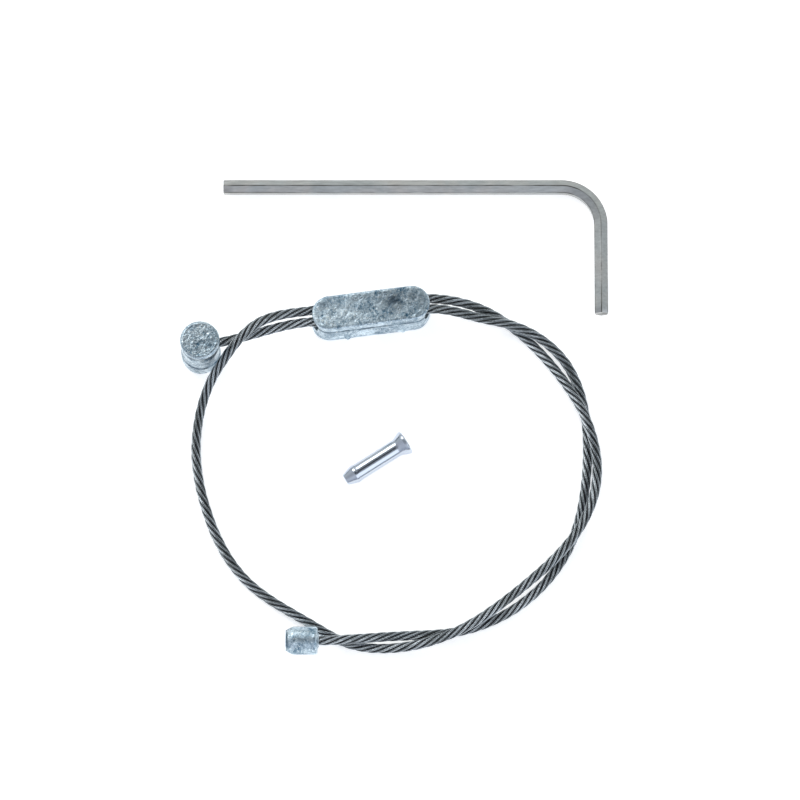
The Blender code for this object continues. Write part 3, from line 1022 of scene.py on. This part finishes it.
def ferrule_axis():
    """The ferrule's tip and its direction, from the CAD solid's own corners."""
    corners = np.array(corners_of("crimp_ferrule"))
    centre = corners.mean(axis=0)
    direction = np.linalg.svd(corners - centre, full_matrices=False)[2][0]
    along = (corners - centre) @ direction
    ends = [corners[along < along.min() + 0.1 * MM], corners[along > along.max() - 0.1 * MM]]
    ends.sort(key=lambda end: np.ptp(end, axis=0).max())
    tip, mouth = (Vector(end.mean(axis=0)) for end in ends)
    return tip, (mouth - tip).normalized(), (mouth - tip).length


def make_ferrule():
    """Turned about Z with the tip down, then laid where the CAD ferrule lies."""
    tip, direction, length = ferrule_axis()
    body, shoulder, flare, bore = 1.35 * MM, 1.42 * MM, 1.93 * MM, 0.95 * MM
    neck = length - 1.6 * MM
    profile = filleted([
        (0.0, 2.2 * MM, 0), (bore, 2.2 * MM, 0.1 * MM), (bore, neck + 0.2 * MM, 0.6 * MM),
        (1.45 * MM, length - 0.12 * MM, 0.25 * MM), (flare - 0.2 * MM, length, 0.1 * MM),
        (flare, length - 0.25 * MM, 0.12 * MM), (flare - 0.08 * MM, length - 0.6 * MM, 0.2 * MM),
        (body, neck - 0.1 * MM, 1.6 * MM), (body, 2.3 * MM, 0.4 * MM),
        (shoulder, 2.0 * MM, 0.15 * MM), (shoulder, 1.7 * MM, 0.15 * MM),
        (0.9 * MM, 0.12 * MM, 0.15 * MM), (0.7 * MM, 0.0, 0.08 * MM), (0.0, 0.0, 0),
    ])
    shape = turned(profile, 0.15 * MM, 96)
    steel = polished_ferrule()
    ferrule = add_piece("polished_ferrule", *shape, steel, "ferrule", "crimp_ferrule")
    roughen(ferrule, 0.004 * MM, 6, size=2.5 * MM)
    lean = UP.rotation_difference(direction).to_matrix().to_4x4()
    place_mesh(ferrule, Matrix.Translation(tip) @ lean)


def key_path(bend):
    """The bar's centreline from the long arm's end round the bend, with its directions."""
    low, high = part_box("hex_key")
    half = (high.z - low.z) / 2 * cos(pi / 6)
    right, top, height = high.x - half, high.y - half, (low.z + high.z) / 2
    stations = []
    straight = 1.6 * MM
    end = right - bend
    for k in range(ceil((end - low.x) / straight) + 1):
        x = min(low.x + k * straight, end)
        stations.append((Vector((x, top, height)), 0.0))
    for k in range(1, 37):
        angle = -pi / 2 * k / 36
        offset = Vector((-sin(angle), cos(angle) - 1.0, 0.0)) * bend
        stations.append((Vector((end, top, height)) + offset, angle))
    side = top - bend
    for k in range(1, ceil((side - low.y) / straight) + 1):
        y = max(side - k * straight, low.y)
        stations.append((Vector((right, y, height)), -pi / 2))
    return stations, half


def key_section(half, edge):
    """A hexagon with a corner up: points on its round corners (1) and beside them (0)."""
    section, marks = [], []
    beside = 0.06 * MM
    centre_out = (half - edge) / cos(pi / 6)
    for side in range(6):
        middle_angle = pi / 2 + side * pi / 3
        centre = centre_out * Vector((cos(middle_angle), sin(middle_angle)))
        for k in range(-3, 4):
            angle = middle_angle + max(-2, min(2, k)) * pi / 12
            out = Vector((cos(angle), sin(angle)))
            along = Vector((-out.y, out.x)) * beside * (k // 3 if k > 0 else -(-k // 3))
            section.append(centre + out * edge + along)
            marks.append(0.0 if abs(k) == 3 else 1.0)
    return section, marks


def make_key():
    """The hexagon section is swept along the key's path and chamfered at both ends."""
    bend_radius = 6.0 * MM
    stations, half = key_path(bend_radius)
    section, marks = key_section(half, settings().loose.key_edge)
    chamfer = 0.12 * MM
    first, last = stations[0], stations[-1]
    inner = (first[0] + Vector((chamfer, 0, 0)), 0.0), (last[0] + Vector((0, chamfer, 0)), last[1])
    end_size = 0.90
    chain = [(*first, end_size), (*inner[0], 1.0)]
    chain += [(place, angle, 1.0) for place, angle in stations[1:-1]]
    chain += [(*inner[1], 1.0), (*last, end_size)]
    rings = []
    for place, angle, size in chain:
        across = Vector((-sin(angle), cos(angle), 0.0))
        rings.append([place + across * (x * size) + UP * (z * size) for x, z in section])
    key = add_piece("drawn_key", *rings_to_mesh(rings), key_steel(), "key", "hex_key", capped=True)
    mark(key.data, "corner", marks * len(rings))
    sharpen(key, 50)


# Stage


def aim(obj, target):
    """Turns an object so that its own -Z axis points at a place."""
    obj.rotation_euler = (target - obj.location).to_track_quat("-Z", "Y").to_euler()


def make_camera():
    """A long lens in front of the object and well above it."""
    given = settings().stage
    data = bpy.data.cameras.new("camera")
    data.sensor_width = 36.0
    data.lens = data.sensor_width * given.distance / given.field
    data.clip_start = 0.05
    data.clip_end = 20.0
    camera = new_object("camera", data)
    target = Vector((0.8, 3.0, 0.0)) * MM
    back = Vector((0.0, -cos(given.elevation), sin(given.elevation)))
    camera.location = target + back * given.distance
    aim(camera, target)
    bpy.context.scene.camera = camera


def add_soft_light(name, place, size, power, tint=(1.0, 1.0, 1.0)):
    """An area light that faces the object."""
    data = bpy.data.lights.new(name, "AREA")
    data.shape = "RECTANGLE"
    data.size, data.size_y = size
    data.energy = power
    data.color = tint
    light = new_object(name, data)
    light.location = place
    aim(light, Vector())


def add_card(name, place, size, shade):
    """A flat bluish card facing the object, for the metals to mirror."""
    material, _, shader, _ = start_material(name)
    shader.inputs["Metallic"].default_value = 0.0
    shader.inputs["Roughness"].default_value = 1.0
    shader.inputs["Base Color"].default_value = (shade * 0.7, shade, shade * 1.5, 1.0)
    bpy.ops.mesh.primitive_plane_add(size=1.0, location=place)
    card = bpy.context.object
    card.name = name
    card.scale = (*size, 1.0)
    card.data.materials.append(material)
    aim(card, Vector())
    card.visible_diffuse = False
    card.visible_shadow = False


def make_floor():
    """The paper that everything lies on, just under the pieces."""
    bpy.ops.mesh.primitive_plane_add(size=8.0, location=(0.0, 0.0, -FLOOR_GAP))
    floor = bpy.context.object
    floor.name = "paper_floor"
    floor.data.materials.append(floor_paper())


def make_world():
    """Soft light from all round, brightest far away near the horizon and dimmer at the left."""
    world = bpy.data.worlds.new("soft room")
    bpy.context.scene.world = world
    world.use_nodes = True
    tree = world.node_tree
    place = tree.nodes.new("ShaderNodeTexCoord").outputs["Generated"]
    split = tree.nodes.new("ShaderNodeSeparateXYZ")
    link(tree, place, split.inputs["Vector"])
    far_side = remap(tree, split.outputs["Y"], -0.6, 0.6, 0.0, 1.0)
    height = split.outputs["Z"]
    near = ramp(
        tree, height, (0.0, (0.40, 0.44, 0.52)), (0.45, (0.66, 0.70, 0.78)),
        (0.70, (0.74, 0.77, 0.84)), (0.88, (0.37, 0.39, 0.43)), (1.0, (0.28, 0.29, 0.31)),
    )
    far = ramp(
        tree, height, (0.0, (0.84, 0.88, 0.87)), (0.5, (0.76, 0.79, 0.79)),
        (0.85, (0.41, 0.43, 0.43)), (1.0, (0.29, 0.31, 0.31)),
    )
    left_side = remap(tree, split.outputs["X"], -0.9, -0.2, 0.80, 1.0)
    sides = mix_colours(tree, far_side, near, far)
    light = mix_colours(tree, 1.0, sides, left_side, "MULTIPLY")
    link(tree, light, tree.nodes["Background"].inputs["Color"])
    tree.nodes["Background"].inputs["Strength"].default_value = 1.0


def make_lights():
    """One light behind at the left, a broader one in front at the right, and a dark card."""
    add_soft_light("key_light", place=(-0.62, 0.80, 1.22), size=(1.1, 0.7), power=7.5)
    add_soft_light(
        "fill_light", place=(0.95, -1.0, 1.05), size=(1.5, 1.5), power=6.0, tint=(0.92, 0.96, 1.0)
    )
    add_card("dark_card", place=(0.37, -0.04, 1.30), size=(0.54, 0.95), shade=0.022)
    bpy.context.scene.view_settings.view_transform = "Standard"


# Operators


class RESTRICTOR_OT_stage(bpy.types.Operator):
    """Add the camera, the floor and the lights"""

    bl_idname = "restrictor.stage"
    bl_label = "Stage"

    def execute(self, context):
        make_camera()
        make_floor()
        make_world()
        make_lights()
        return {"FINISHED"}


class RESTRICTOR_OT_rope(bpy.types.Operator):
    """Lay the stranded rope along its route"""

    bl_idname = "restrictor.rope"
    bl_label = "Wire Rope"

    def execute(self, context):
        make_rope()
        return {"FINISHED"}


class RESTRICTOR_OT_nipples(bpy.types.Operator):
    """Cast the barrel and the small nipple on the rope's ends"""

    bl_idname = "restrictor.nipples"
    bl_label = "Nipples"

    def execute(self, context):
        make_barrel()
        make_end_nipple()
        return {"FINISHED"}


class RESTRICTOR_OT_block(bpy.types.Operator):
    """Cast the clamp block with its channel and screw holes"""

    bl_idname = "restrictor.block"
    bl_label = "Clamp Block"

    def execute(self, context):
        make_block()
        return {"FINISHED"}


class RESTRICTOR_OT_screws(bpy.types.Operator):
    """Fit the two grub screws in the block"""

    bl_idname = "restrictor.screws"
    bl_label = "Grub Screws"

    def execute(self, context):
        for side in ("left", "right"):
            make_screw(side, f"grub_screw_{side}", f"screw_{side}")
        return {"FINISHED"}


class RESTRICTOR_OT_ferrule(bpy.types.Operator):
    """Lay the polished ferrule inside the loop"""

    bl_idname = "restrictor.ferrule"
    bl_label = "Crimp Ferrule"

    def execute(self, context):
        make_ferrule()
        return {"FINISHED"}


class RESTRICTOR_OT_key(bpy.types.Operator):
    """Lay the hex key above the loop"""

    bl_idname = "restrictor.key"
    bl_label = "Hex Key"

    def execute(self, context):
        make_key()
        return {"FINISHED"}


OPERATORS = (
    RESTRICTOR_OT_stage,
    RESTRICTOR_OT_rope,
    RESTRICTOR_OT_nipples,
    RESTRICTOR_OT_block,
    RESTRICTOR_OT_screws,
    RESTRICTOR_OT_ferrule,
    RESTRICTOR_OT_key,
)


class RESTRICTOR_PT_panel(bpy.types.Panel):
    """Buttons and sizes for the restrictor cable"""

    bl_idname = "RESTRICTOR_PT_panel"
    bl_label = "Restrictor Cable"
    bl_space_type = "VIEW_3D"
    bl_region_type = "UI"
    bl_category = "Restrictor"

    def draw(self, context):
        given = context.scene.restrictor_cable
        for group in (given.rope, given.casting, given.loose, given.stage):
            column = self.layout.column(align=True)
            for name in group.__annotations__:
                column.prop(group, name)
        for operator in OPERATORS:
            self.layout.operator(operator.bl_idname)


GROUPS = (RopeSettings, CastingSettings, LooseSettings, StageSettings, CableSettings)
CLASSES = (*GROUPS, *OPERATORS, RESTRICTOR_PT_panel)


def register():
    for cls in CLASSES:
        bpy.utils.register_class(cls)
    bpy.types.Scene.restrictor_cable = PointerProperty(type=CableSettings)


def unregister():
    del bpy.types.Scene.restrictor_cable
    for cls in reversed(CLASSES):
        bpy.utils.unregister_class(cls)


def main():
    register()
    bpy.ops.restrictor.stage()
    bpy.ops.restrictor.rope()
    bpy.ops.restrictor.nipples()
    bpy.ops.restrictor.block()
    bpy.ops.restrictor.screws()
    bpy.ops.restrictor.ferrule()
    bpy.ops.restrictor.key()


if __name__ == "__main__":
    main()
